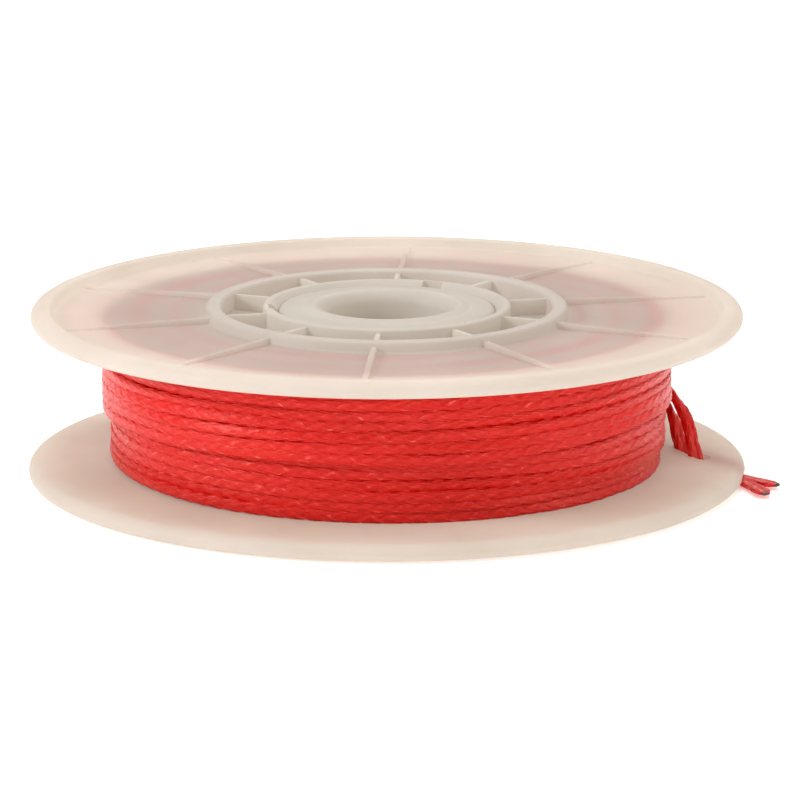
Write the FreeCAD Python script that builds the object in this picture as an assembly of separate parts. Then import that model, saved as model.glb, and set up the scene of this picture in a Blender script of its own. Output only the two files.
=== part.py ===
import FreeCAD, Part
import math
import os

# Refill spool of braided chalk line: two moulded halves that snap together round a spindle bore,
# the line wound between their flanges, and the two ends of the doubled line run out under the rim.
# Millimetres. +Z is the spool's axis, and z = 0 is the face that the spool lies on.

# Driving dimensions
SPOOL_HEIGHT = 17.2
TOP_FLANGE_RADIUS = 35.35
BOTTOM_FLANGE_RADIUS = 35.75
FLANGE_THICKNESS = 1.75
WEB_THICKNESS = 0.7
LIP_WIDTH = 2.0
RIM_NOSE_DEPTH = 1.3
LIP_DRAFT = 0.2
BARREL_RADIUS = 17.9
BARREL_WALL = 1.5
BORE_RADIUS = 6.0
LINE_DIAMETER = 1.0
TOP_MOUTH_ROUNDING = 1.4
BOTTOM_MOUTH_CHAMFER = 0.7

# Heights that follow from them
RECESS = FLANGE_THICKNESS - WEB_THICKNESS
GROOVE_BOTTOM = FLANGE_THICKNESS
GROOVE_TOP = SPOOL_HEIGHT - FLANGE_THICKNESS

# Radial ribs on the outer face of both webs
RIB_COUNT = 10
RIB_FIRST_ANGLE = 14.2
RIB_WIDTH = 0.55
RIB_HEIGHT_AT_BARREL = 0.6
RIB_HEIGHT_AT_LIP = 0.15

# Hub of the top half: a socket ring that takes the plug, webbed to the barrel
SOCKET_RADIUS = 10.8
SOCKET_OUTER_RADIUS = 12.3
SOCKET_DEPTH = 6.0
SOCKET_LEAD_IN = 0.7
POCKET_FLOOR_THICKNESS = 0.9
POCKET_DEPTH = 1.9
POCKET_RIB_DROP = 0.35
PRY_NOTCH_ANGLES = (66.0, 186.0, 306.0)
PRY_NOTCH_WIDTH = 2.2
PRY_NOTCH_DEPTH = 1.3

# Hub of the bottom half: a bore tube inside a plug whose bead snaps into the socket
BORE_WALL = 1.5
PLUG_CLEARANCE = 0.08
PLUG_WALL = 1.2
PLUG_DROP = 0.35
PLUG_CHAMFER = 0.45
PLUG_ROOF = 1.1
BEAD_HEIGHT = 0.25
BEAD_HALF_LENGTH = 0.6
BEAD_Z = 13.2
CENTRING_RING_WALL = 1.2
CENTRING_RING_TOP = 4.6
CENTRING_CHAMFER = 0.5
HUB_FLOOR_THICKNESS = 1.0

# Slot in the bottom web that the two ends go down through, and the relief under the lip
SLOT_START = (29.05, 4.15)
SLOT_END = (31.95, -2.2)
SLOT_WIDTH = 1.5
RELIEF_START = (32.6, -1.75)
RELIEF_END = (36.6, -6.05)
RELIEF_WIDTH = 3.4
RELIEF_HEIGHT = RECESS - 0.02

# Outline of the wound line, as (height above the groove's bottom, radius)
WINDING_OUTLINE = ((0.0, 27.6), (13.7, 28.3))

# Routes of the two free ends, from the winding to the cut and melted tip
LINE_END_A_ROUTE = (
    (24.53, 14.36, 7.9),
    (27.55, 8.4, 7.6),
    (30.0, 2.3, 5.6),
    (30.85, -0.1, 2.4),
    (31.5, -1.3, 0.6),
    (33.2, -3.1, 0.5),
    (36.1, -6.6, 0.52),
    (37.15, -10.6, 0.6),
)
LINE_END_B_ROUTE = (
    (24.48, 14.32, 6.8),
    (26.9, 9.6, 6.5),
    (28.9, 4.8, 4.9),
    (29.6, 2.9, 1.9),
    (30.3, 1.8, 0.58),
    (32.3, -0.1, 0.5),
    (35.6, -4.2, 0.52),
    (38.5, -7.05, 0.58),
)
ARC_SHARE = 0.45

AXIS = FreeCAD.Vector(0, 0, 1)
ORIGIN = FreeCAD.Vector(0, 0, 0)


def revolved(outline):
    """A solid of revolution about the spool's axis from corner points (radius, z)."""
    corners = [FreeCAD.Vector(radius, 0, z) for radius, z in outline]
    face = Part.Face(Part.makePolygon(corners + corners[:1]))
    return face.revolve(ORIGIN, AXIS, 360)


def ring(inner, outer, bottom, top):
    """A plain ring about the spool's axis."""
    return revolved([(inner, bottom), (outer, bottom), (outer, top), (inner, top)])


def arc_points(centre, half_width, half_height, start, end, steps):
    """Outline points (radius, z) along an elliptical arc, from one angle in degrees to another."""
    points = []
    for step in range(steps + 1):
        angle = math.radians(start + (end - start) * step / steps)
        radius = centre[0] + half_width * math.cos(angle)
        points.append((radius, centre[1] + half_height * math.sin(angle)))
    return points


def turned(shape, angle):
    """A copy of the shape turned about the spool's axis."""
    copy = shape.copy()
    copy.rotate(ORIGIN, AXIS, angle)
    return copy


def around(shape, angles):
    """One compound of copies of the shape at several angles."""
    return Part.makeCompound([turned(shape, angle) for angle in angles])


def rib_angles():
    return [RIB_FIRST_ANGLE + index * 360 / RIB_COUNT for index in range(RIB_COUNT)]


def upright_plate(outline, width):
    """A plate of this width that stands on the plane y = 0, from corners (x, z)."""
    corners = [FreeCAD.Vector(x, -width / 2, z) for x, z in outline]
    face = Part.Face(Part.makePolygon(corners + corners[:1]))
    return face.extrude(FreeCAD.Vector(0, width, 0))


def channel(start, end, width, bottom, top):
    """A square-ended cutter between two points in plan."""
    first = FreeCAD.Vector(start[0], start[1], bottom)
    last = FreeCAD.Vector(end[0], end[1], bottom)
    side = (last - first).cross(AXIS)
    side.multiply(width / 2 / side.Length)
    corners = [first + side, last + side, last - side, first - side]
    face = Part.Face(Part.makePolygon(corners + corners[:1]))
    return face.extrude(FreeCAD.Vector(0, 0, top - bottom))


def long_hole(start, end, width, bottom, top):
    """A cutter with round ends between two points in plan."""
    ends = []
    for x, y in (start, end):
        ends.append(Part.makeCylinder(width / 2, top - bottom, FreeCAD.Vector(x, y, bottom)))
    return channel(start, end, width, bottom, top).fuse(ends).removeSplitter()


def web_rib(flange_radius):
    """A low rib that tapers from the barrel ring to the lip, on a web whose outer face is z = 0."""
    inner = BARREL_RADIUS - BARREL_WALL / 2
    outer = flange_radius - LIP_WIDTH / 2
    outline = [
        (inner, -WEB_THICKNESS / 2),
        (outer, -WEB_THICKNESS / 2),
        (outer, RIB_HEIGHT_AT_LIP),
        (inner, RIB_HEIGHT_AT_BARREL),
    ]
    return upright_plate(outline, RIB_WIDTH)


def flange(radius):
    """A flange that stands on z = 0 and faces up: inner face below, lip and web above."""
    lip_inner = radius - LIP_WIDTH
    barrel_inner = BARREL_RADIUS - BARREL_WALL
    half = FLANGE_THICKNESS / 2
    nose = arc_points((radius - RIM_NOSE_DEPTH, half), RIM_NOSE_DEPTH, half, -90, 90, 4)
    body = revolved(
        [(barrel_inner, 0)]
        + nose
        + [
            (lip_inner, FLANGE_THICKNESS),
            (lip_inner - LIP_DRAFT, WEB_THICKNESS),
            (BARREL_RADIUS + LIP_DRAFT, WEB_THICKNESS),
            (BARREL_RADIUS, FLANGE_THICKNESS),
            (barrel_inner, FLANGE_THICKNESS),
        ]
    )
    rib = web_rib(radius)
    rib.translate(FreeCAD.Vector(0, 0, WEB_THICKNESS))
    return body.fuse(around(rib, rib_angles()))


def top_hub():
    """The barrel wall, the pocket floor with its webs, and the socket ring."""
    barrel_inner = BARREL_RADIUS - BARREL_WALL
    barrel = ring(barrel_inner, BARREL_RADIUS, GROOVE_BOTTOM, GROOVE_TOP + WEB_THICKNESS / 2)
    pocket_top = SPOOL_HEIGHT - POCKET_DEPTH
    floor = ring(
        SOCKET_RADIUS + SOCKET_LEAD_IN,
        barrel_inner + BARREL_WALL / 2,
        pocket_top - POCKET_FLOOR_THICKNESS,
        pocket_top,
    )
    socket_bottom = SPOOL_HEIGHT - SOCKET_DEPTH
    groove_reach = SOCKET_RADIUS + BEAD_HEIGHT
    socket = revolved(
        [
            (SOCKET_OUTER_RADIUS, socket_bottom),
            (SOCKET_OUTER_RADIUS, SPOOL_HEIGHT),
            (SOCKET_RADIUS + SOCKET_LEAD_IN, SPOOL_HEIGHT),
            (SOCKET_RADIUS, SPOOL_HEIGHT - SOCKET_LEAD_IN),
            (SOCKET_RADIUS, BEAD_Z + BEAD_HALF_LENGTH),
            (groove_reach, BEAD_Z),
            (SOCKET_RADIUS, BEAD_Z - BEAD_HALF_LENGTH),
            (SOCKET_RADIUS, socket_bottom + SOCKET_LEAD_IN / 2),
            (SOCKET_RADIUS + SOCKET_LEAD_IN / 2, socket_bottom),
        ]
    )
    pocket_rib = upright_plate(
        [
            (SOCKET_OUTER_RADIUS - 0.3, pocket_top - POCKET_FLOOR_THICKNESS / 2),
            (barrel_inner + 0.3, pocket_top - POCKET_FLOOR_THICKNESS / 2),
            (barrel_inner + 0.3, SPOOL_HEIGHT - POCKET_RIB_DROP),
            (SOCKET_OUTER_RADIUS - 0.3, SPOOL_HEIGHT - POCKET_RIB_DROP),
        ],
        RIB_WIDTH,
    )
    return barrel.fuse([floor, socket, around(pocket_rib, rib_angles())])


def pry_notch():
    """A cutter for one notch in the socket ring's rim, where a blade opens the snap."""
    outline = [
        (SOCKET_RADIUS - 0.5, SPOOL_HEIGHT - PRY_NOTCH_DEPTH),
        (SOCKET_RADIUS + 1.0, SPOOL_HEIGHT - PRY_NOTCH_DEPTH),
        (SOCKET_RADIUS + 1.0, SPOOL_HEIGHT + 1.0),
        (SOCKET_RADIUS - 0.5, SPOOL_HEIGHT + 1.0),
    ]
    return upright_plate(outline, PRY_NOTCH_WIDTH)


def top_half():
    """Top flange, barrel and socket in one moulding."""
    plate = flange(TOP_FLANGE_RADIUS)
    plate.translate(FreeCAD.Vector(0, 0, GROOVE_TOP))
    body = plate.fuse(top_hub()).removeSplitter()
    return body.cut(around(pry_notch(), PRY_NOTCH_ANGLES))


def bottom_hub():
    """The bore tube, the plug around it with its roof and bead, and the barrel's centring ring."""
    tube_outer = BORE_RADIUS + BORE_WALL
    plug_outer = SOCKET_RADIUS - PLUG_CLEARANCE
    plug_inner = plug_outer - PLUG_WALL
    plug_top = SPOOL_HEIGHT - PLUG_DROP
    mouth_centre = (BORE_RADIUS + TOP_MOUTH_ROUNDING, SPOOL_HEIGHT - TOP_MOUTH_ROUNDING)
    mouth = arc_points(mouth_centre, TOP_MOUTH_ROUNDING, TOP_MOUTH_ROUNDING, 90, 180, 3)
    hub = revolved(
        [
            (BORE_RADIUS, BOTTOM_MOUTH_CHAMFER),
            (BORE_RADIUS + BOTTOM_MOUTH_CHAMFER, 0),
            (tube_outer, 0),
            (tube_outer, plug_top - PLUG_ROOF),
            (plug_inner, plug_top - PLUG_ROOF),
            (plug_inner, 0),
            (plug_outer, 0),
            (plug_outer, BEAD_Z - BEAD_HALF_LENGTH),
            (plug_outer + BEAD_HEIGHT - PLUG_CLEARANCE, BEAD_Z),
            (plug_outer, BEAD_Z + BEAD_HALF_LENGTH),
            (plug_outer, plug_top - PLUG_CHAMFER),
            (plug_outer - PLUG_CHAMFER, plug_top),
            (tube_outer + TOP_MOUTH_ROUNDING / 2, plug_top),
            (tube_outer, SPOOL_HEIGHT),
        ]
        + mouth
    )
    barrel_inner = BARREL_RADIUS - BARREL_WALL
    floor = ring(
        plug_outer - PLUG_WALL / 2,
        barrel_inner + BARREL_WALL / 2,
        GROOVE_BOTTOM - HUB_FLOOR_THICKNESS,
        GROOVE_BOTTOM,
    )
    ring_outer = barrel_inner - PLUG_CLEARANCE
    centring = revolved(
        [
            (ring_outer - CENTRING_RING_WALL, GROOVE_BOTTOM - HUB_FLOOR_THICKNESS / 2),
            (ring_outer, GROOVE_BOTTOM - HUB_FLOOR_THICKNESS / 2),
            (ring_outer, CENTRING_RING_TOP - CENTRING_CHAMFER),
            (ring_outer - CENTRING_CHAMFER, CENTRING_RING_TOP),
            (ring_outer - CENTRING_RING_WALL, CENTRING_RING_TOP),
        ]
    )
    return hub.fuse([floor, centring])


def bottom_half():
    """Bottom flange and hub in one moulding, with the slot and the relief for the line's ends."""
    plate = flange(BOTTOM_FLANGE_RADIUS)
    plate.rotate(ORIGIN, FreeCAD.Vector(1, 0, 0), 180)
    plate.rotate(ORIGIN, AXIS, 2 * RIB_FIRST_ANGLE)
    plate.translate(FreeCAD.Vector(0, 0, GROOVE_BOTTOM))
    body = plate.fuse(bottom_hub()).removeSplitter()
    slot = long_hole(SLOT_START, SLOT_END, SLOT_WIDTH, -1.0, GROOVE_BOTTOM + 1.0)
    relief = channel(RELIEF_START, RELIEF_END, RELIEF_WIDTH, -1.0, RELIEF_HEIGHT)
    return body.cut([slot, relief])


def line_winding():
    """The closed outer shape of all the wound turns, from the barrel out."""
    outer = [(radius, GROOVE_BOTTOM + height) for height, radius in WINDING_OUTLINE]
    return revolved([(BARREL_RADIUS, GROOVE_BOTTOM)] + outer + [(BARREL_RADIUS, GROOVE_TOP)])


def corner_arc(before, corner, after):
    """The tangent arc at a corner of a route, as (start, middle, end, radius)."""
    back = before - corner
    ahead = after - corner
    shorter = min(back.Length, ahead.Length)
    back.normalize()
    ahead.normalize()
    half_turn = (math.pi - back.getAngle(ahead)) / 2
    setback = ARC_SHARE * shorter
    radius = setback / math.tan(half_turn)
    bisector = back + ahead
    bisector.normalize()
    centre = corner + bisector * (radius / math.cos(half_turn))
    middle = centre - bisector * radius
    return corner + back * setback, middle, corner + ahead * setback, radius


def round_tube(route, diameter, name):
    """A tube of straight runs joined by tangent arcs. Prints its radii and compares its volume."""
    points = [FreeCAD.Vector(*point) for point in route]
    edges = []
    radii = []
    at = points[0]
    for before, corner, after in zip(points, points[1:], points[2:]):
        start, middle, end, radius = corner_arc(before, corner, after)
        edges.append(Part.LineSegment(at, start).toShape())
        edges.append(Part.Arc(start, middle, end).toShape())
        radii.append(radius)
        at = end
    edges.append(Part.LineSegment(at, points[-1]).toShape())
    path = Part.Wire(edges)
    section = Part.Wire(Part.makeCircle(diameter / 2, points[0], points[1] - points[0]))
    tube = path.makePipeShell([section], True, True)
    expected = math.pi * diameter**2 / 4 * path.Length
    print(name, "radii", [round(radius, 1) for radius in radii])
    print(name, "length", round(path.Length, 2), "volume / expected", round(tube.Volume / expected, 4))
    return tube


def line_end(route, name):
    """One free end of the line, as a plain tube."""
    return round_tube(route, LINE_DIAMETER, name)


os.makedirs("parts", exist_ok=True)
nodes = {
    "bottom_half": bottom_half(),
    "top_half": top_half(),
    "line_winding": line_winding(),
    "line_end_a": line_end(LINE_END_A_ROUTE, "line_end_a"),
    "line_end_b": line_end(LINE_END_B_ROUTE, "line_end_b"),
}
for node, shape in nodes.items():
    print(node, shape.isValid(), len(shape.Solids), round(shape.Volume, 2), shape.BoundBox)
    shape.exportStep(f"parts/{node}.step")
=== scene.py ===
import math

import bpy
import numpy as np
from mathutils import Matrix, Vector, noise


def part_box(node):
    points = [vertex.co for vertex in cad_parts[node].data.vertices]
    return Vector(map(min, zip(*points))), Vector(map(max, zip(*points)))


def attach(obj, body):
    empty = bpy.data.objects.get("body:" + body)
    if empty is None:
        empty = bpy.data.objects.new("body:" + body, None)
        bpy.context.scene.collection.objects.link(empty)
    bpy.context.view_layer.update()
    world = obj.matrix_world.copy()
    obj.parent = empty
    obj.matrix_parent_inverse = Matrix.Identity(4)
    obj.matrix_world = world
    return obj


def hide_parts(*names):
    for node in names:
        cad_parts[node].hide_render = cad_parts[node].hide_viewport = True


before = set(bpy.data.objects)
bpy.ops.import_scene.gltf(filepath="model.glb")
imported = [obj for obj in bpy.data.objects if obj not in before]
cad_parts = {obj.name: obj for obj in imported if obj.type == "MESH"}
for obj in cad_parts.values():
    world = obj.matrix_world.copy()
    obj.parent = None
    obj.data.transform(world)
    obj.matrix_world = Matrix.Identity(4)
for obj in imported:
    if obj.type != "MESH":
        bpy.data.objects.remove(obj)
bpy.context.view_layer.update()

MM = 0.001
BODY = "root"

# Sizes in millimetres. The frame gives the outer ones.
spool_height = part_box("bottom_half")[1].z / MM
bottom_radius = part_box("bottom_half")[1].x / MM
top_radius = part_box("top_half")[1].x / MM
groove_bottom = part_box("line_winding")[0].z / MM
groove_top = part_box("line_winding")[1].z / MM
WEB_THICKNESS = 0.7
BARREL_RADIUS = 17.9
BARREL_INNER = 16.4
LIP_WIDTH = 2.0
LIP_DRAFT = 0.2
RIM_NOSE_DEPTH = 1.3
BORE_RADIUS = 6.0
TUBE_RADIUS = 7.5
PLUG_INNER = 9.52
PLUG_RADIUS = 10.72
PLUG_DROP = 0.35
BEAD_RADIUS = 10.89
SOCKET_RADIUS = 10.8
SOCKET_MOUTH = 11.5
SNAP_GROOVE_RADIUS = 11.05
SOCKET_OUTER = 12.3
SNAP_HEIGHT = 13.2
SNAP_HALF = 0.6
SOCKET_DEPTH = 6.0
POCKET_DEPTH = 1.9
POCKET_FLOOR = 0.9
CENTRING_INNER = 15.12
CENTRING_OUTER = 16.32
CENTRING_TOP = 4.6
CENTRING_CHAMFER = 0.5

# The line's section on the winding, and where it lies flat under the rim.
# On the winding it is drawn wider than the turns are apart, so neighbours press into each other.
LINE_WIDTH = 1.26
LINE_THICKNESS = 0.84
FLAT_WIDTH = 1.5
FLAT_THICKNESS = 0.5

# Camera: place in metres, tilt in degrees, lens and sensor in millimetres
CAMERA_PLACE = (1.306 * MM, -466.96 * MM, 116.82 * MM)
CAMERA_DOWN = 13.194
LENS = 216.3
SENSOR = 36.0


# ---------------------------------------------------------------- camera
def make_camera():
    data = bpy.data.cameras.new("camera")
    data.lens = LENS
    data.sensor_width = SENSOR
    camera = bpy.data.objects.new("camera", data)
    camera.location = CAMERA_PLACE
    camera.rotation_euler = (math.radians(90 - CAMERA_DOWN), 0, 0)
    bpy.context.scene.collection.objects.link(camera)
    bpy.context.scene.camera = camera


make_camera()


# ---------------------------------------------------------------- the line's two cords
# Routes of the free ends, from the winding to the melted tip, in metres. They are the part's,
# but for a few points that stand up to 0.3 mm aside.
END_A_ROUTE = (
    (0.02453, 0.01436, 0.0079),
    (0.02755, 0.0084, 0.0076),
    (0.03, 0.0023, 0.0056),
    (0.03065, -0.0001, 0.0024),
    (0.03125, -0.0013, 0.0006),
    (0.0332, -0.0031, 0.0005),
    (0.0361, -0.0066, 0.00052),
    (0.03715, -0.0106, 0.0006),
)
END_B_ROUTE = (
    (0.02448, 0.01432, 0.0068),
    (0.0269, 0.0096, 0.0065),
    (0.0289, 0.0048, 0.0049),
    (0.02945, 0.0029, 0.0019),
    (0.0301, 0.0018, 0.00058),
    (0.0323, -0.0001, 0.0005),
    (0.0356, -0.0045, 0.00052),
    (0.0385, -0.00705, 0.00058),
)

POINTS_PER_TURN = 24
PAIR_PITCH = 2.04
LAYERS = 12
DWELL_TURNS = 0.5
LAST_LAYER_RADIUS = 27.1
FIRST_LAYER_RADIUS = BARREL_RADIUS + LINE_THICKNESS / 2
LAYER_PITCH = (LAST_LAYER_RADIUS - FIRST_LAYER_RADIUS) / (LAYERS - 1)
TRAVEL_LOW = groove_bottom + PAIR_PITCH / 2
TRAVEL_HIGH = groove_top - PAIR_PITCH / 2
TRAVEL_TURNS = (TRAVEL_HIGH - TRAVEL_LOW) / PAIR_PITCH
LAYER_TURNS = TRAVEL_TURNS + DWELL_TURNS
RELEASE_TURNS = 0.35
# A NURBS curve of order 3 cuts inside its control points by this factor
CUT_IN = 0.75 + 0.25 * math.cos(2 * math.pi / POINTS_PER_TURN)

# Unevenness of the outer turns, in millimetres
DRIFT_UP = 0.42
DRIFT_OUT = 0.30
DRIFT_REACH = 3.1
DRIFT_PER_TURN = 0.9
DRIFT_MARGIN = 0.8
OUT_RATE = 1.3
OUT_SHIFT = Vector((7, 3, 11))
LOOSE_BULGE = 0.5
LOOSE_HEIGHT = 5.2
LOOSE_SPREAD = 2.6


def smooth(x):
    x = min(max(x, 0.0), 1.0)
    return x * x * (3 - 2 * x)


def layer_place(turn):
    """Height, radius and layer of the doubled line after so many turns from the barrel."""
    layer = int(turn / LAYER_TURNS)
    within = turn - layer * LAYER_TURNS
    travelled = min(within / TRAVEL_TURNS, 1.0) * (TRAVEL_HIGH - TRAVEL_LOW)
    height = TRAVEL_HIGH - travelled if layer % 2 == 0 else TRAVEL_LOW + travelled
    climb = smooth((within - TRAVEL_TURNS) / DWELL_TURNS)
    return height, FIRST_LAYER_RADIUS + (layer + climb) * LAYER_PITCH, layer


def unevenness(height, angle, turn, layer, seed):
    """How far a turn strays up and out: more near the outside, and loose low on the +X side."""
    depth = min(layer / LAYERS, 1.0)
    around = Vector((math.cos(angle), math.sin(angle), 0)) * DRIFT_REACH
    place = around + Vector((0, 0, turn * DRIFT_PER_TURN + seed))
    free = smooth((height - TRAVEL_LOW) / DRIFT_MARGIN) * smooth((TRAVEL_HIGH - height) / DRIFT_MARGIN)
    up = DRIFT_UP * depth**2 * free * noise.noise(place)
    out = DRIFT_OUT * depth**2 * noise.noise(place * OUT_RATE + OUT_SHIFT)
    loose = math.exp(-(((height - LOOSE_HEIGHT) / LOOSE_SPREAD) ** 2)) * max(math.cos(angle), 0)
    return up, out + depth**6 * loose * LOOSE_BULGE


def winding_points(route, side, seed):
    """Control points of one cord's turns, in millimetres, from the barrel out to the route's first point."""
    end = Vector(route[0]) / MM
    pair_height = end.z - side
    turns = LAYERS * LAYER_TURNS + (TRAVEL_HIGH - pair_height) / PAIR_PITCH
    end_angle = math.atan2(end.y, end.x)
    end_radius = math.hypot(end.x, end.y)
    count = int(turns * POINTS_PER_TURN)
    points = []
    for index in range(count):
        left = (count - index) / POINTS_PER_TURN
        turn = turns - left
        angle = end_angle + 2 * math.pi * left
        height, radius, layer = layer_place(turn)
        up, out = unevenness(height, angle, turn, layer, seed)
        height += up
        radius += out
        # the last stretch comes out to where the free end starts
        release = smooth(1 - left / RELEASE_TURNS)
        radius += (end_radius - radius) * release
        height += (pair_height - height) * release
        reach = radius / CUT_IN
        points.append(Vector((math.cos(angle) * reach, math.sin(angle) * reach, height + side)))
    return points


def centreline(name, route, side, seed):
    """The cord's NURBS spline, and the points read from it, in metres."""
    controls = [point * MM for point in winding_points(route, side, seed)]
    controls += [Vector(point) for point in route]
    data = bpy.data.curves.new(name + "_line", "CURVE")
    data.dimensions = "3D"
    spline = data.splines.new("NURBS")
    spline.points.add(len(controls) - 1)
    for point, control in zip(spline.points, controls):
        point.co = (*control, 1)
    spline.order_u = 3
    spline.use_endpoint_u = True
    spline.resolution_u = 10
    curve = bpy.data.objects.new(name + "_line", data)
    bpy.context.scene.collection.objects.link(curve)
    bpy.context.view_layer.update()
    mesh = bpy.data.meshes.new_from_object(curve)
    read = np.empty(len(mesh.vertices) * 3)
    mesh.vertices.foreach_get("co", read)
    bpy.data.meshes.remove(mesh)
    bpy.data.objects.remove(curve)
    bpy.data.curves.remove(data)
    return read.reshape(-1, 3)


def lengths_along(path):
    steps = np.linalg.norm(np.diff(path, axis=0), axis=1)
    return np.concatenate([[0], np.cumsum(steps)])


def resampled(values, along, stations):
    return np.stack([np.interp(stations, along, values[:, axis]) for axis in range(3)], 1)


def unit(vectors):
    return vectors / np.linalg.norm(vectors, axis=1, keepdims=True)


# The braid: yarns round the line, and the millimetres in which a yarn passes to its neighbour's place
YARNS = 10
PICK = 2.0
LEAST_YARN = 0.25
MEAN_YARN = 0.75
PICK_DRIFT = 0.35
PICK_DRIFT_RATE = 0.41
SWELL = 0.06
SWELL_RATE = 0.83
SWELL_BEAT = 0.29
# Powers that make the section squarer than an ellipse, across its thickness and its width
THIN_POWER = 0.52
WIDE_POWER = 0.58
# Height of the route over the floor where the line lies on it
LYING_HEIGHT = 0.46


def ridge(place):
    """A round ridge over each whole step, from 0 at its edges to 1."""
    return np.sqrt(np.clip(1 - (2 * (place % 1) - 1) ** 2, 0, 1))


def braid_height(along, around):
    """Relief from 0 to 1 of a two-over-two braid. along in millimetres, around in turns."""
    first = YARNS * around + along / PICK
    second = YARNS * around - along / PICK
    over_first = 0.5 + 0.5 * np.cos(np.pi / 2 * (second + np.floor(first)))
    over_second = 0.5 - 0.5 * np.cos(np.pi / 2 * (first + np.floor(second)))
    height_first = ridge(first) * (LEAST_YARN + (1 - LEAST_YARN) * over_first)
    height_second = ridge(second) * (LEAST_YARN + (1 - LEAST_YARN) * over_second)
    return np.maximum(height_first, height_second)


def squared(values, power):
    return np.abs(values) ** power * np.sign(values)


def tube_faces(rows, sides):
    """Quads between the rings of a tube, and the two faces that close it."""
    row = np.arange(rows - 1)[:, None] * sides
    side = np.arange(sides)[None, :]
    after = (side + 1) % sides
    quads = np.stack([row + side, row + after, row + sides + after, row + sides + side], -1)
    caps = [list(range(sides))[::-1], list(range((rows - 1) * sides, rows * sides))]
    return quads.reshape(-1, 4), caps


def tube(line, stations, angles, relief):
    """Vertices, faces, UVs and yarn heights of a closed oval tube along a line, in metres."""
    line_along = lengths_along(line["path"])
    centres = resampled(line["path"], line_along, stations)
    tangents = unit(np.gradient(centres, axis=0))
    thin = resampled(line["outward"], line_along, stations)
    thin = unit(thin - tangents * np.sum(thin * tangents, axis=1, keepdims=True))
    wide = np.cross(tangents, thin)
    along = stations[:, None] / MM
    around = angles[None, :] / (2 * math.pi)
    flatness = np.interp(stations, line_along, line["flat"])[:, None]
    narrowing = np.interp(stations, line_along, line["narrow"])[:, None]
    thickness = LINE_THICKNESS + (FLAT_THICKNESS - LINE_THICKNESS) * flatness
    width = LINE_WIDTH + (FLAT_WIDTH - LINE_WIDTH) * flatness
    swell = 1 + SWELL * np.sin(along * SWELL_RATE) * np.sin(along * SWELL_BEAT + 1.0)
    yarn = braid_height(along + PICK_DRIFT * np.sin(along * PICK_DRIFT_RATE), around)
    size = (1 + relief * (yarn - MEAN_YARN)) * narrowing
    half_thin = squared(np.cos(angles)[None, :], THIN_POWER) * thickness / 2 * MM * size * swell
    half_wide = squared(np.sin(angles)[None, :], WIDE_POWER) * width / 2 * MM * size / swell
    across = half_thin[:, :, None] * thin[:, None, :] + half_wide[:, :, None] * wide[:, None, :]
    rings = centres[:, None, :] + across
    rings[:, :, 2] -= flatness * (LYING_HEIGHT - FLAT_THICKNESS / 2) * MM
    shape = (len(stations), len(angles))
    quads, caps = tube_faces(*shape)
    uv_u = np.broadcast_to(along, shape)
    uv_v = np.broadcast_to(around * math.pi * (LINE_WIDTH + LINE_THICKNESS) / 2, shape)
    return {
        "vertices": rings.reshape(-1, 3),
        "quads": quads,
        "caps": caps,
        "uv": np.stack([uv_u, uv_v], -1).reshape(-1, 2),
        "yarn": np.broadcast_to(yarn, shape).reshape(-1),
    }


def link_mesh(name, vertices, faces):
    """A new object with a mesh of these vertices and faces."""
    mesh = bpy.data.meshes.new(name)
    mesh.from_pydata(vertices, [], faces)
    mesh.update()
    piece = bpy.data.objects.new(name, mesh)
    bpy.context.scene.collection.objects.link(piece)
    return piece


def cord_mesh(name, tubes):
    """One mesh from several closed tubes."""
    vertices, faces, uv, yarn = [], [], [], []
    base = 0
    for part in tubes:
        vertices.append(part["vertices"])
        uv.append(part["uv"])
        yarn.append(part["yarn"])
        faces += (part["quads"] + base).tolist()
        faces += [[corner + base for corner in cap] for cap in part["caps"]]
        base += len(part["vertices"])
    piece = link_mesh(name, np.concatenate(vertices).tolist(), faces)
    mesh = piece.data
    corners = np.empty(len(mesh.loops), np.int32)
    mesh.loops.foreach_get("vertex_index", corners)
    layer = mesh.uv_layers.new(name="length_and_turn")
    layer.data.foreach_set("uv", np.concatenate(uv)[corners].astype(np.float32).ravel())
    height = mesh.attributes.new("yarn", "FLOAT", "POINT")
    height.data.foreach_set("value", np.concatenate(yarn).astype(np.float32))
    mesh.polygons.foreach_set("use_smooth", np.ones(len(mesh.polygons), bool))
    return piece


# Spacing of the rings: on the covered turns, on the outermost turns, on the free end
INNER_STEP = 3.2 * MM
OUTER_STEP = 0.26 * MM
END_STEP = 0.12 * MM
INNER_SIDES = 6
END_SIDES = 32
OUTER_SIDES = (17, 3)
RELIEF = 0.32
OUTER_TURNS = 10.6
OUTER_TURN_RADIUS = 27.5
# Length of a free end as a share of its control points' runs
SPLINE_SHARE = 0.93
TIP_TAPER = 1.2 * MM
TIP_NARROWING = 0.45

# Along the free end, from where it leaves the winding: where it turns to the front, and where it lies flat
TURN_START = 5 * MM
TURN_RUN = 6 * MM
LIE_START = 14.5 * MM
LIE_RUN = 3.5 * MM
TOWARDS_FRONT = (0.5, -0.86, 0.0)
ROLL = 0.45
ROLL_RATE = 0.071
ROLL_BEAT = 0.023


def side_angles(count_out, count_in):
    """Angles round a section, close together on the half that faces out."""
    out = np.linspace(-math.pi / 2, math.pi / 2, count_out + 1)[:-1]
    back = np.linspace(math.pi / 2, 3 * math.pi / 2, count_in + 1)[:-1]
    return np.concatenate([out, back])


def even_angles(count):
    return np.linspace(0, 2 * math.pi, count + 1)[:-1]


def share_along(along, start, run):
    return np.clip((along - start) / run, 0, 1)


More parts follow.
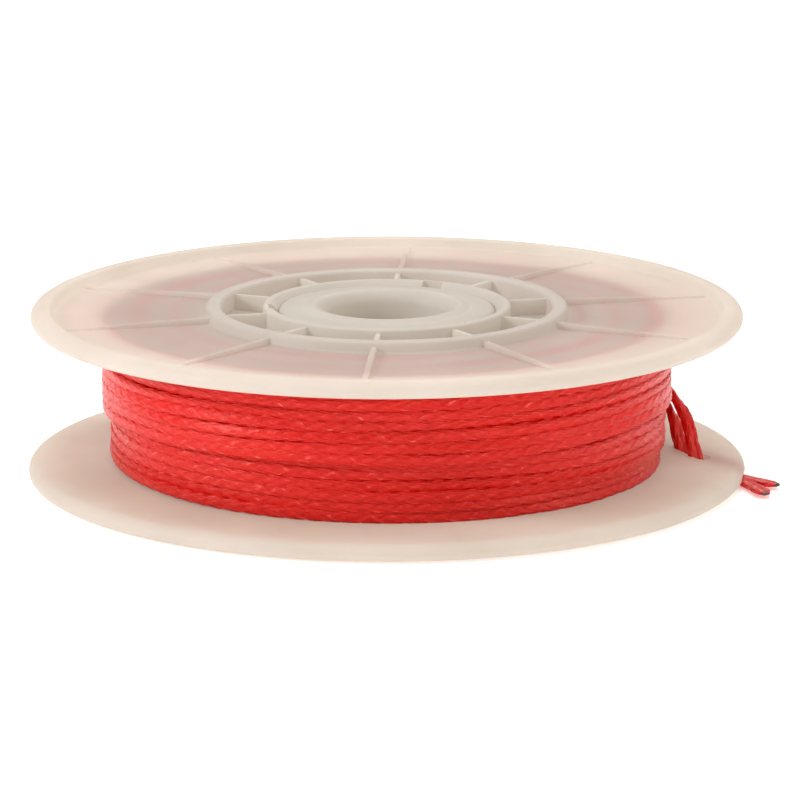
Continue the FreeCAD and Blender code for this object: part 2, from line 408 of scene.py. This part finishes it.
def outward_directions(path, release):
    """Where the line's flat side faces, and how flat it is: outward on the winding, up under the flange."""
    along = lengths_along(path)
    outward = unit(np.stack([path[:, 0], path[:, 1], np.zeros(len(path))], 1))
    roll = ROLL * np.sin(along / MM * ROLL_RATE) * np.sin(along / MM * ROLL_BEAT + 0.7)
    outward[:, 2] = np.tan(roll)
    turning = share_along(along, release + TURN_START, TURN_RUN)[:, None]
    lying = share_along(along, release + LIE_START, LIE_RUN)[:, None]
    outward = unit(outward * (1 - turning) + np.array([TOWARDS_FRONT]) * turning)
    up = np.array([[0.0, 0.0, 1.0]])
    return unit(outward * (1 - lying) + up * lying + 1e-6), lying[:, 0]


def make_cord(name, route, side, seed):
    """The whole cord as one mesh, with the points and the length of its centreline."""
    path = centreline(name, route, side, seed)
    along = lengths_along(path)
    total = along[-1]
    release = total - SPLINE_SHARE * lengths_along(np.array(route))[-1]
    outside = release - OUTER_TURNS * 2 * math.pi * OUTER_TURN_RADIUS * MM
    outward, flat = outward_directions(path, release)
    narrow = 1 - TIP_NARROWING * share_along(along, total - TIP_TAPER, TIP_TAPER) ** 2
    line = {"path": path, "outward": outward, "flat": flat, "narrow": narrow}
    inner_stations = np.arange(0, outside + INNER_STEP, INNER_STEP)
    outer_stations = np.arange(outside, release + OUTER_STEP, OUTER_STEP)
    end_stations = np.linspace(release, total, int((total - release) / END_STEP))
    tubes = [
        tube(line, inner_stations, even_angles(INNER_SIDES), 0.0),
        tube(line, outer_stations, side_angles(*OUTER_SIDES), RELIEF),
        tube(line, end_stations, even_angles(END_SIDES), RELIEF),
    ]
    return cord_mesh(name, tubes), path, total


# Half the distance between the doubled line's two strands
HALF_PAIR = PAIR_PITCH / 4
cord_a, path_a, length_a = make_cord("chalk_line_a", END_A_ROUTE, HALF_PAIR, seed=1.0)
cord_b, path_b, length_b = make_cord("chalk_line_b", END_B_ROUTE, -HALF_PAIR, seed=31.0)


TIP_ROWS = 14
TIP_SIDES = 20
TIP_BACK = 0.28
TIP_LENGTH = 0.5
TIP_HALF_WIDTH = 0.47
TIP_HALF_THICKNESS = 0.19
TIP_SHOULDER = 0.55
TIP_END_TAPER = 0.25
LUMP_HEIGHT = 0.22
LUMP_RATE = 1.6
LUMP_RATE_ALONG = 2.2
LUMP_SHIFT = 900


def melted_tip(name, path):
    """The hard dark bead where the line was cut and melted, as a lumpy closed cap over the end."""
    end = Vector(path[-1]) - Vector((0, 0, (LYING_HEIGHT - FLAT_THICKNESS / 2) * MM))
    direction = Vector(path[-1] - path[-12]).normalized()
    side = direction.cross(Vector((0, 0, 1))).normalized()
    up = side.cross(direction)
    vertices = []
    for row in range(TIP_ROWS):
        t = row / (TIP_ROWS - 1)
        reach = (TIP_LENGTH * t - TIP_BACK) * MM
        closing = max(0.0, (t - TIP_SHOULDER) / (1 - TIP_SHOULDER))
        width = math.sqrt(max(1 - closing**2, 0)) * (1 - TIP_END_TAPER * t)
        for index in range(TIP_SIDES):
            angle = 2 * math.pi * index / TIP_SIDES
            place = Vector((math.cos(angle), math.sin(angle), t * LUMP_RATE_ALONG)) * LUMP_RATE
            lump = 1 + LUMP_HEIGHT * noise.noise(place + Vector(path[-1]) * LUMP_SHIFT)
            across = side * math.cos(angle) * TIP_HALF_WIDTH + up * math.sin(angle) * TIP_HALF_THICKNESS
            vertices.append(end + direction * reach + across * (width * lump * MM + 1e-6))
    quads, caps = tube_faces(TIP_ROWS, TIP_SIDES)
    piece = link_mesh(name, vertices, quads.tolist() + caps)
    for polygon in piece.data.polygons:
        polygon.use_smooth = True
    return piece


tip_a = melted_tip("melted_tip_a", path_a)
tip_b = melted_tip("melted_tip_b", path_b)


# ---------------------------------------------------------------- the two moulded halves
RIB_COUNT = 10
RIB_FIRST_ANGLE = math.radians(14.2)
RIB_WIDTH = 0.55
RIB_EDGE = 0.06
RIB_HALF = RIB_WIDTH / 2
# Across a rib: distance from its middle line, and share of its height there
RIB_SECTION = (
    (-RIB_HALF - RIB_EDGE, 0.0),
    (-RIB_HALF, 0.85),
    (-RIB_HALF + RIB_EDGE, 1.0),
    (RIB_HALF - RIB_EDGE, 1.0),
    (RIB_HALF, 0.85),
    (RIB_HALF + RIB_EDGE, 0.0),
)
COLUMNS_BETWEEN = 15
WEB_ROW_STEP = 1.6
RIB_HEIGHT_AT_BARREL = 0.6
RIB_HEIGHT_AT_LIP = 0.15
POCKET_RIB_DROP = 0.35


def with_round_corners(outline, steps=4):
    """A closed outline (radius, z, corner rounding, zone) with its corners replaced by arcs."""
    points = []
    count = len(outline)
    for index in range(count):
        before = Vector(outline[index - 1][:2])
        corner = Vector(outline[index][:2])
        after = Vector(outline[(index + 1) % count][:2])
        rounding, zone = outline[index][2], outline[index][3]
        if rounding == 0:
            points.append((corner.x, corner.y, zone))
            continue
        back = (before - corner).normalized()
        ahead = (after - corner).normalized()
        half = back.angle(ahead) / 2
        setback = rounding / math.tan(half)
        centre = corner + (back + ahead).normalized() * (rounding / math.sin(half))
        start = corner + back * setback - centre
        end = corner + ahead * setback - centre
        turn = start.angle_signed(end)
        for step in range(steps + 1):
            angle = -turn * step / steps
            cos, sin = math.cos(angle), math.sin(angle)
            x = start.x * cos - start.y * sin
            y = start.x * sin + start.y * cos
            points.append((centre.x + x, centre.y + y, zone))
    return points


def with_rows(points, zone, step):
    """Adds points along the long runs of one zone, so that ribs can follow their slope."""
    result = []
    for index, point in enumerate(points):
        result.append(point)
        after = points[(index + 1) % len(points)]
        if point[2] == zone and after[2] == zone:
            run = math.hypot(after[0] - point[0], after[1] - point[1])
            count = int(run / step)
            for k in range(1, count):
                t = k / count
                x = point[0] + (after[0] - point[0]) * t
                z = point[1] + (after[1] - point[1]) * t
                result.append((x, z, zone))
    return result


def spun(name, points, raise_rib):
    """A closed mesh of revolution whose columns follow the radial ribs at their constant width."""
    sector = 2 * math.pi / RIB_COUNT
    columns = []
    for rib in range(RIB_COUNT):
        start = RIB_FIRST_ANGLE + rib * sector
        columns += [(start, offset, share) for offset, share in RIB_SECTION]
        columns += [(start, None, k / (COLUMNS_BETWEEN + 1)) for k in range(1, COLUMNS_BETWEEN + 1)]
    vertices = []
    for radius, z, zone in points:
        reach = (RIB_HALF + RIB_EDGE) / radius
        for start, offset, share in columns:
            if offset is None:
                angle = start + reach + (sector - 2 * reach) * share
                height = z
            else:
                angle = start + offset / radius
                height = raise_rib(radius, z, zone, share)
            vertices.append((radius * math.cos(angle) * MM, radius * math.sin(angle) * MM, height * MM))
    rows, sides = len(points), len(columns)
    row = np.arange(rows)[:, None]
    side = np.arange(sides)[None, :]
    below = (row + 1) % rows * sides
    after = (side + 1) % sides
    quads = np.stack([row * sides + side, below + side, below + after, row * sides + after], -1)
    return link_mesh(name, vertices, quads.reshape(-1, 4).tolist())


def rib_height(radius, flange_radius):
    """Height of a web rib over its web, from the barrel out to the lip."""
    t = (radius - BARREL_RADIUS) / (flange_radius - LIP_WIDTH - BARREL_RADIUS)
    return RIB_HEIGHT_AT_BARREL + (RIB_HEIGHT_AT_LIP - RIB_HEIGHT_AT_BARREL) * min(max(t, 0), 1)


def rim_nose(radius, low, high, steps=10):
    """The half-oval edge of a flange, from its lower face up to its upper one."""
    half = (high - low) / 2
    points = []
    for step in range(steps + 1):
        angle = math.radians(-90 + 180 * step / steps)
        x = radius - RIM_NOSE_DEPTH + RIM_NOSE_DEPTH * math.cos(angle)
        points.append((x, low + half + half * math.sin(angle), 0, ""))
    return points


def snap(radius, peak):
    """The snap bead or groove on a wall, from its upper edge down."""
    return [
        (radius, SNAP_HEIGHT + SNAP_HALF, 0, ""),
        (peak, SNAP_HEIGHT, 0.1, ""),
        (radius, SNAP_HEIGHT - SNAP_HALF, 0, ""),
    ]


def top_outline():
    """Corners of the top half's section as (radius, z, rounding, zone)."""
    top = spool_height
    web = groove_top + WEB_THICKNESS
    lip = top_radius - LIP_WIDTH
    barrel = [
        (BARREL_INNER, groove_bottom, 0.2, ""),
        (BARREL_RADIUS, groove_bottom, 0.1, ""),
        (BARREL_RADIUS, groove_top, 0.25, ""),
    ]
    recess = [
        (lip, top, 0.3, ""),
        (lip - LIP_DRAFT, web, 0.3, "web"),
        (BARREL_RADIUS + LIP_DRAFT, web, 0.3, "web"),
        (BARREL_RADIUS, top, 0.35, ""),
    ]
    pocket = [
        (BARREL_INNER, top, 0.35, ""),
        (BARREL_INNER, top - POCKET_DEPTH, 0.3, "pocket"),
        (SOCKET_OUTER, top - POCKET_DEPTH, 0.3, "pocket"),
        (SOCKET_OUTER, top, 0.25, ""),
    ]
    socket = [
        (SOCKET_MOUTH, top, 0.2, ""),
        (SOCKET_RADIUS, top - (SOCKET_MOUTH - SOCKET_RADIUS), 0.2, ""),
        *snap(SOCKET_RADIUS, SNAP_GROOVE_RADIUS),
        (SOCKET_RADIUS, top - SOCKET_DEPTH, 0.3, ""),
        (SOCKET_OUTER, top - SOCKET_DEPTH, 0.2, ""),
        (SOCKET_OUTER, top - POCKET_DEPTH - POCKET_FLOOR, 0.3, ""),
        (BARREL_INNER, top - POCKET_DEPTH - POCKET_FLOOR, 0.3, ""),
    ]
    return barrel + rim_nose(top_radius, groove_top, top) + recess + pocket + socket


def raise_top(radius, z, zone, share):
    web = groove_top + WEB_THICKNESS
    if zone == "web":
        return z + share * max(web + rib_height(radius, top_radius) - z, 0)
    if zone == "pocket":
        return z + share * max(spool_height - POCKET_RIB_DROP - z, 0)
    return z


BORE_CHAMFER = 0.7
BORE_ROUNDING = 1.4
PLUG_STEP_RADIUS = 8.2
PLUG_ROOF_TOP = 1.45
HUB_FLOOR_BOTTOM = 0.75


def bottom_outline():
    """Corners of the bottom half's section as (radius, z, rounding, zone)."""
    top = spool_height
    web = groove_bottom - WEB_THICKNESS
    lip = bottom_radius - LIP_WIDTH
    bore = [
        (BORE_RADIUS + BORE_CHAMFER, 0.0, 0.3, ""),
        (BORE_RADIUS, BORE_CHAMFER, 0.3, ""),
        (BORE_RADIUS, top, BORE_ROUNDING, ""),
        (TUBE_RADIUS, top, 0.05, ""),
    ]
    plug = [
        (PLUG_STEP_RADIUS, top - PLUG_DROP, 0.6, ""),
        (PLUG_RADIUS, top - PLUG_DROP, 0.45, ""),
        *snap(PLUG_RADIUS, BEAD_RADIUS),
        (PLUG_RADIUS, groove_bottom, 0.3, ""),
    ]
    centring_ring = [
        (CENTRING_INNER, groove_bottom, 0.3, ""),
        (CENTRING_INNER, CENTRING_TOP, 0.2, ""),
        (CENTRING_OUTER - CENTRING_CHAMFER, CENTRING_TOP, 0.15, ""),
        (CENTRING_OUTER, CENTRING_TOP - CENTRING_CHAMFER, 0.15, ""),
        (CENTRING_OUTER, groove_bottom, 0.1, ""),
    ]
    recess = [
        (lip, 0.0, 0.3, ""),
        (lip - LIP_DRAFT, web, 0.3, "web"),
        (BARREL_RADIUS + LIP_DRAFT, web, 0.3, "web"),
        (BARREL_RADIUS, 0.0, 0.35, ""),
        (BARREL_INNER, 0.0, 0.35, ""),
        (BARREL_INNER, HUB_FLOOR_BOTTOM, 0.3, ""),
    ]
    inside_plug = [
        (PLUG_RADIUS, HUB_FLOOR_BOTTOM, 0.3, ""),
        (PLUG_RADIUS, 0.0, 0.25, ""),
        (PLUG_INNER, 0.0, 0.25, ""),
        (PLUG_INNER, top - PLUG_ROOF_TOP, 0.4, ""),
        (TUBE_RADIUS, top - PLUG_ROOF_TOP, 0.4, ""),
        (TUBE_RADIUS, 0.0, 0.25, ""),
    ]
    rim = rim_nose(bottom_radius, 0.0, groove_bottom)[::-1]
    return bore + plug + centring_ring + rim + recess + inside_plug


def raise_bottom(radius, z, zone, share):
    web = groove_bottom - WEB_THICKNESS
    if zone == "web":
        return z - share * max(z - (web - rib_height(radius, bottom_radius)), 0)
    return z


PRY_NOTCH_ANGLES = (66.0, 186.0, 306.0)
PRY_NOTCH_REACH = (10.3, 11.8)
PRY_NOTCH_WIDTH = 2.2
PRY_NOTCH_DEPTH = 1.3
SLOT_START = (29.4, 3.4)
SLOT_END = (31.6, -1.45)
SLOT_WIDTH = 1.5
RELIEF_START = (32.6, -1.75)
RELIEF_END = (36.6, -6.05)
RELIEF_WIDTH = 3.4
# The relief stops this far short of the web, so that no two faces share a plane
RELIEF_SHORT = 0.02
ROUND_END_STEPS = 12
SHARP_ANGLE = math.radians(38)


def long_cutter(start, end, width, bottom, top, round_ends):
    """A closed prism between two points in plan, to cut a slot with."""
    first, last = Vector((*start, 0)), Vector((*end, 0))
    heading = (last - first).normalized()
    side = Vector((-heading.y, heading.x, 0))
    outline = []
    steps = ROUND_END_STEPS if round_ends else 1
    for centre, turn in ((last, -math.pi / 2), (first, math.pi / 2)):
        for k in range(steps + 1):
            angle = turn + math.pi * k / steps
            outline.append(centre + (heading * math.cos(angle) + side * math.sin(angle)) * width / 2)
    count = len(outline)
    vertices = [(p.x * MM, p.y * MM, bottom * MM) for p in outline]
    vertices += [(p.x * MM, p.y * MM, top * MM) for p in outline]
    faces = [tuple(range(count))[::-1], tuple(range(count, 2 * count))]
    faces += [(k, (k + 1) % count, (k + 1) % count + count, k + count) for k in range(count)]
    return link_mesh("cutter", vertices, faces)


def cut(piece, cutters):
    """Cuts the piece by each cutter in turn, and keeps the result in its mesh."""
    for cutter in cutters:
        modifier = piece.modifiers.new("cut", "BOOLEAN")
        modifier.operation = "DIFFERENCE"
        modifier.solver = "EXACT"
        modifier.object = cutter
        bpy.context.view_layer.update()
        graph = bpy.context.evaluated_depsgraph_get()
        mesh = bpy.data.meshes.new_from_object(piece.evaluated_get(graph))
        piece.modifiers.clear()
        old = piece.data
        piece.data = mesh
        bpy.data.meshes.remove(old)
        bpy.data.objects.remove(cutter)


def finish_shell(piece):
    """Smooth faces with crisp edges where they turn sharply."""
    mesh = piece.data
    mesh.polygons.foreach_set("use_smooth", np.ones(len(mesh.polygons), bool))
    mesh.set_sharp_from_angle(angle=SHARP_ANGLE)
    modifier = piece.modifiers.new("normals", "WEIGHTED_NORMAL")
    modifier.keep_sharp = True
    modifier.weight = 60


def turned_point(angle, radius):
    angle = math.radians(angle)
    return (radius * math.cos(angle), radius * math.sin(angle))


def shell(name, outline, raise_rib):
    return spun(name, with_rows(with_round_corners(outline), "web", WEB_ROW_STEP), raise_rib)


def pry_notch(angle):
    start, end = (turned_point(angle, radius) for radius in PRY_NOTCH_REACH)
    return long_cutter(start, end, PRY_NOTCH_WIDTH, spool_height - PRY_NOTCH_DEPTH, spool_height + 1, False)


top_shell = shell("top_half_shell", top_outline(), raise_top)
cut(top_shell, [pry_notch(angle) for angle in PRY_NOTCH_ANGLES])
finish_shell(top_shell)

relief_top = groove_bottom - WEB_THICKNESS - RELIEF_SHORT
bottom_shell = shell("bottom_half_shell", bottom_outline(), raise_bottom)
cut(
    bottom_shell,
    [
        long_cutter(SLOT_START, SLOT_END, SLOT_WIDTH, -1.0, groove_bottom + 1.0, True),
        long_cutter(RELIEF_START, RELIEF_END, RELIEF_WIDTH, -1.0, relief_top, False),
    ],
)
finish_shell(bottom_shell)


# ---------------------------------------------------------------- materials
def new_material(name):
    material = bpy.data.materials.new(name)
    material.use_nodes = True
    tree = material.node_tree
    tree.nodes.clear()
    output = tree.nodes.new("ShaderNodeOutputMaterial")
    return material, tree, output


def node(tree, kind, **settings):
    made = tree.nodes.new(kind)
    for key, value in settings.items():
        setattr(made, key, value)
    return made


def colour_ramp(tree, factor, stops):
    ramp = tree.nodes.new("ShaderNodeValToRGB")
    elements = ramp.color_ramp.elements
    while len(elements) < len(stops):
        elements.new(0.5)
    for element, (position, colour) in zip(elements, stops):
        element.position = position
        element.color = (*colour, 1)
    tree.links.new(factor, ramp.inputs["Fac"])
    return ramp.outputs["Color"]


def noise_texture(tree, vector, scale, detail, roughness=0.5):
    texture = node(tree, "ShaderNodeTexNoise")
    texture.inputs["Scale"].default_value = scale
    texture.inputs["Detail"].default_value = detail
    texture.inputs["Roughness"].default_value = roughness
    tree.links.new(vector, texture.inputs["Vector"])
    return texture.outputs["Fac"]


def bumped(tree, height, strength, distance):
    """The normal of a surface with this height over it."""
    bump = node(tree, "ShaderNodeBump")
    bump.inputs["Strength"].default_value = strength
    bump.inputs["Distance"].default_value = distance
    tree.links.new(height, bump.inputs["Height"])
    return bump.outputs["Normal"]


def principled(tree, colour, normal=None, **values):
    """A Principled shader. Each value's name is its socket's, with _ for a space."""
    surface = node(tree, "ShaderNodeBsdfPrincipled")
    for name, value in values.items():
        surface.inputs[name.replace("_", " ")].default_value = value
    tree.links.new(colour, surface.inputs["Base Color"])
    if normal:
        tree.links.new(normal, surface.inputs["Normal"])
    return surface.outputs["BSDF"]


# Share of the light that goes through: less where the hub's walls stand close together
HUB_TRANSLUCENCY = 0.50
WEB_TRANSLUCENCY = 0.62
HUB_EDGE = (BARREL_RADIUS - 1.0) * MM
WEB_EDGE = (BARREL_RADIUS + 1.5) * MM


def translucency(tree, place):
    """Share of light that goes through at a place, by its distance from the axis."""
    axes = node(tree, "ShaderNodeSeparateXYZ")
    tree.links.new(place, axes.inputs["Vector"])
    in_plan = node(tree, "ShaderNodeCombineXYZ")
    tree.links.new(axes.outputs["X"], in_plan.inputs["X"])
    tree.links.new(axes.outputs["Y"], in_plan.inputs["Y"])
    radius = node(tree, "ShaderNodeVectorMath", operation="LENGTH")
    tree.links.new(in_plan.outputs["Vector"], radius.inputs[0])
    share = node(tree, "ShaderNodeMapRange")
    share.inputs["From Min"].default_value = HUB_EDGE
    share.inputs["From Max"].default_value = WEB_EDGE
    share.inputs["To Min"].default_value = HUB_TRANSLUCENCY
    share.inputs["To Max"].default_value = WEB_TRANSLUCENCY
    tree.links.new(radius.outputs["Value"], share.inputs["Value"])
    return share.outputs["Result"]


def plastic_material():
    """Natural translucent polypropylene: milky, satin, with faint flow clouds and a fine skin."""
    material, tree, output = new_material("natural_polypropylene")
    place = node(tree, "ShaderNodeTexCoord").outputs["Object"]
    clouds = noise_texture(tree, place, scale=90, detail=3)
    colour = colour_ramp(tree, clouds, [(0.35, (0.855, 0.81, 0.75)), (0.65, (0.895, 0.855, 0.80))])
    skin = noise_texture(tree, place, scale=2600, detail=2)
    normal = bumped(tree, skin, strength=0.10, distance=0.03 * MM)
    surface = principled(tree, colour, normal, Roughness=0.42, IOR=1.49, Specular_IOR_Level=0.35)
    through = node(tree, "ShaderNodeBsdfTranslucent")
    tree.links.new(colour, through.inputs["Color"])
    mix = node(tree, "ShaderNodeMixShader")
    tree.links.new(translucency(tree, place), mix.inputs["Fac"])
    tree.links.new(surface, mix.inputs[1])
    tree.links.new(through.outputs["BSDF"], mix.inputs[2])
    tree.links.new(mix.outputs["Shader"], output.inputs["Surface"])
    return material


# Streaks of fibre that cross the line's own direction at a slant either way. Millimetres
FIBRE_LENGTH = 1.5
FIBRE_WIDTH = 0.16
FIBRE_SLANT = math.radians(12)
# Shares of the streaks and of the yarn height in the line's colour: low yarn height gives painted shade,
# bright streaks a painted highlight
STREAK_TONE_AND_HIGHLIGHT_SHARE = 0.9
VALLEY_SHADE_SHARE = 0.35


def streaks(tree, uv, slant):
    stretch = node(tree, "ShaderNodeMapping", vector_type="TEXTURE")
    stretch.inputs["Rotation"].default_value = (0, 0, slant)
    stretch.inputs["Location"].default_value = (slant * 40, 0, 0)
    stretch.inputs["Scale"].default_value = (FIBRE_LENGTH, FIBRE_WIDTH, 1.0)
    tree.links.new(uv, stretch.inputs["Vector"])
    return noise_texture(tree, stretch.outputs["Vector"], scale=1.0, detail=3, roughness=0.55)


def line_material():
    """Red braided line: yarns with painted shade between them, fine crossing fibres with painted highlights,
    a soft sheen.
    """
    material, tree, output = new_material("red_braided_line")
    links = tree.links
    uv = node(tree, "ShaderNodeTexCoord").outputs["UV"]
    fibres = node(tree, "ShaderNodeMath", operation="MAXIMUM")
    links.new(streaks(tree, uv, FIBRE_SLANT), fibres.inputs[0])
    links.new(streaks(tree, uv, -FIBRE_SLANT), fibres.inputs[1])
    # The yarn height darkens the red where it is low, between the yarns: painted shade
    yarn = node(tree, "ShaderNodeAttribute", attribute_name="yarn")
    painted_valley_shade = node(tree, "ShaderNodeMath", operation="MULTIPLY")
    painted_valley_shade.inputs[1].default_value = VALLEY_SHADE_SHARE
    links.new(yarn.outputs["Fac"], painted_valley_shade.inputs[0])
    tone_and_painted_light = node(tree, "ShaderNodeMath", operation="MULTIPLY_ADD")
    tone_and_painted_light.inputs[1].default_value = STREAK_TONE_AND_HIGHLIGHT_SHARE
    links.new(fibres.outputs["Value"], tone_and_painted_light.inputs[0])
    links.new(painted_valley_shade.outputs["Value"], tone_and_painted_light.inputs[2])
    # The red's own tone follows the fibre streaks; the dark end of the ramp is painted shade in the valleys,
    # and its light pink top is painted highlight on the streaks
    colour = colour_ramp(
        tree,
        tone_and_painted_light.outputs["Value"],
        [
            (0.40, (0.48, 0.007, 0.005)),
            (0.70, (0.72, 0.014, 0.010)),
            (0.86, (0.80, 0.030, 0.024)),
            (0.98, (0.92, 0.190, 0.160)),
        ],
    )
    normal = bumped(tree, fibres.outputs["Value"], strength=1.0, distance=0.12 * MM)
    sheen = {"Specular_IOR_Level": 0.45, "Specular_Tint": (1.0, 0.50, 0.45, 1)}
    links.new(principled(tree, colour, normal, Roughness=0.30, **sheen), output.inputs["Surface"])
    return material


def tip_material():
    """Line that was melted hard: dark grey-brown skin with red showing through."""
    material, tree, output = new_material("melted_line")
    place = node(tree, "ShaderNodeTexCoord").outputs["Object"]
    patches = noise_texture(tree, place, scale=1900, detail=3)
    stops = [(0.35, (0.035, 0.022, 0.022)), (0.55, (0.10, 0.045, 0.04)), (0.75, (0.30, 0.03, 0.03))]
    surface = principled(tree, colour_ramp(tree, patches, stops), Roughness=0.35)
    tree.links.new(surface, output.inputs["Surface"])
    return material


def floor_material():
    material, tree, output = new_material("pale_floor")
    surface = node(tree, "ShaderNodeBsdfPrincipled")
    surface.inputs["Base Color"].default_value = (0.93, 0.93, 0.93, 1)
    surface.inputs["Roughness"].default_value = 0.8
    surface.inputs["Emission Color"].default_value = (1, 1, 1, 1)
    surface.inputs["Emission Strength"].default_value = 0.36
    tree.links.new(surface.outputs["BSDF"], output.inputs["Surface"])
    return material


plastic = plastic_material()
line = line_material()
melted = tip_material()


def dress(piece, material):
    """Gives a piece its material and the body that it rides on."""
    piece.data.materials.clear()
    piece.data.materials.append(material)
    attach(piece, BODY)


dress(top_shell, plastic)
dress(bottom_shell, plastic)
for piece in (cord_a, cord_b):
    dress(piece, line)
for piece in (tip_a, tip_b):
    dress(piece, melted)
for cad_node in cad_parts.values():
    cad_node.data.materials.clear()
    cad_node.data.materials.append(line if cad_node.name.startswith("line") else plastic)

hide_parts("top_half")
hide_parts("bottom_half")
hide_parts("line_winding", "line_end_a")
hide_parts("line_end_b")


# ---------------------------------------------------------------- light and floor
# Just under the lip, so that no face of the spool is in the floor's own plane.
FLOOR_HEIGHT = -0.0001
FLOOR_HALF = 3.0


def make_floor():
    corners = [(-1, -1), (1, -1), (1, 1), (-1, 1)]
    vertices = [(x * FLOOR_HALF, y * FLOOR_HALF, FLOOR_HEIGHT) for x, y in corners]
    floor = link_mesh("floor", vertices, [(0, 1, 2, 3)])
    floor.data.materials.append(floor_material())


LIT_POINT = Vector((0, 0, 0.01))


def make_light(name, place, size, power, colour):
    """A round studio lamp that faces the spool."""
    data = bpy.data.lights.new(name, "AREA")
    data.shape = "DISK"
    data.size = size
    data.energy = power
    data.color = colour
    light = bpy.data.objects.new(name, data)
    light.location = place
    light.rotation_euler = (LIT_POINT - Vector(place)).to_track_quat("-Z", "Y").to_euler()
    bpy.context.scene.collection.objects.link(light)


def make_world():
    world = bpy.data.worlds.new("studio")
    world.use_nodes = True
    background = world.node_tree.nodes["Background"]
    background.inputs["Color"].default_value = (1.0, 0.99, 0.975, 1)
    background.inputs["Strength"].default_value = 0.46
    bpy.context.scene.world = world


make_floor()
make_light("key", (-0.53, -0.20, 0.28), 0.16, 1.7, (0.98, 0.985, 1.0))
make_light("fill", (0.53, -0.14, 0.32), 0.40, 0.9, (1.0, 0.93, 0.84))
make_light("overhead", (0.0, 0.02, 0.75), 0.50, 2.0, (1.0, 0.985, 0.96))
make_light("lamp", (-0.12, -0.50, 0.80), 0.03, 0.5, (1.0, 0.86, 0.62))
make_light("back", (0.05, 0.55, 0.45), 0.40, 0.9, (1.0, 0.95, 0.88))
make_world()
bpy.context.scene.view_settings.view_transform = "Standard"
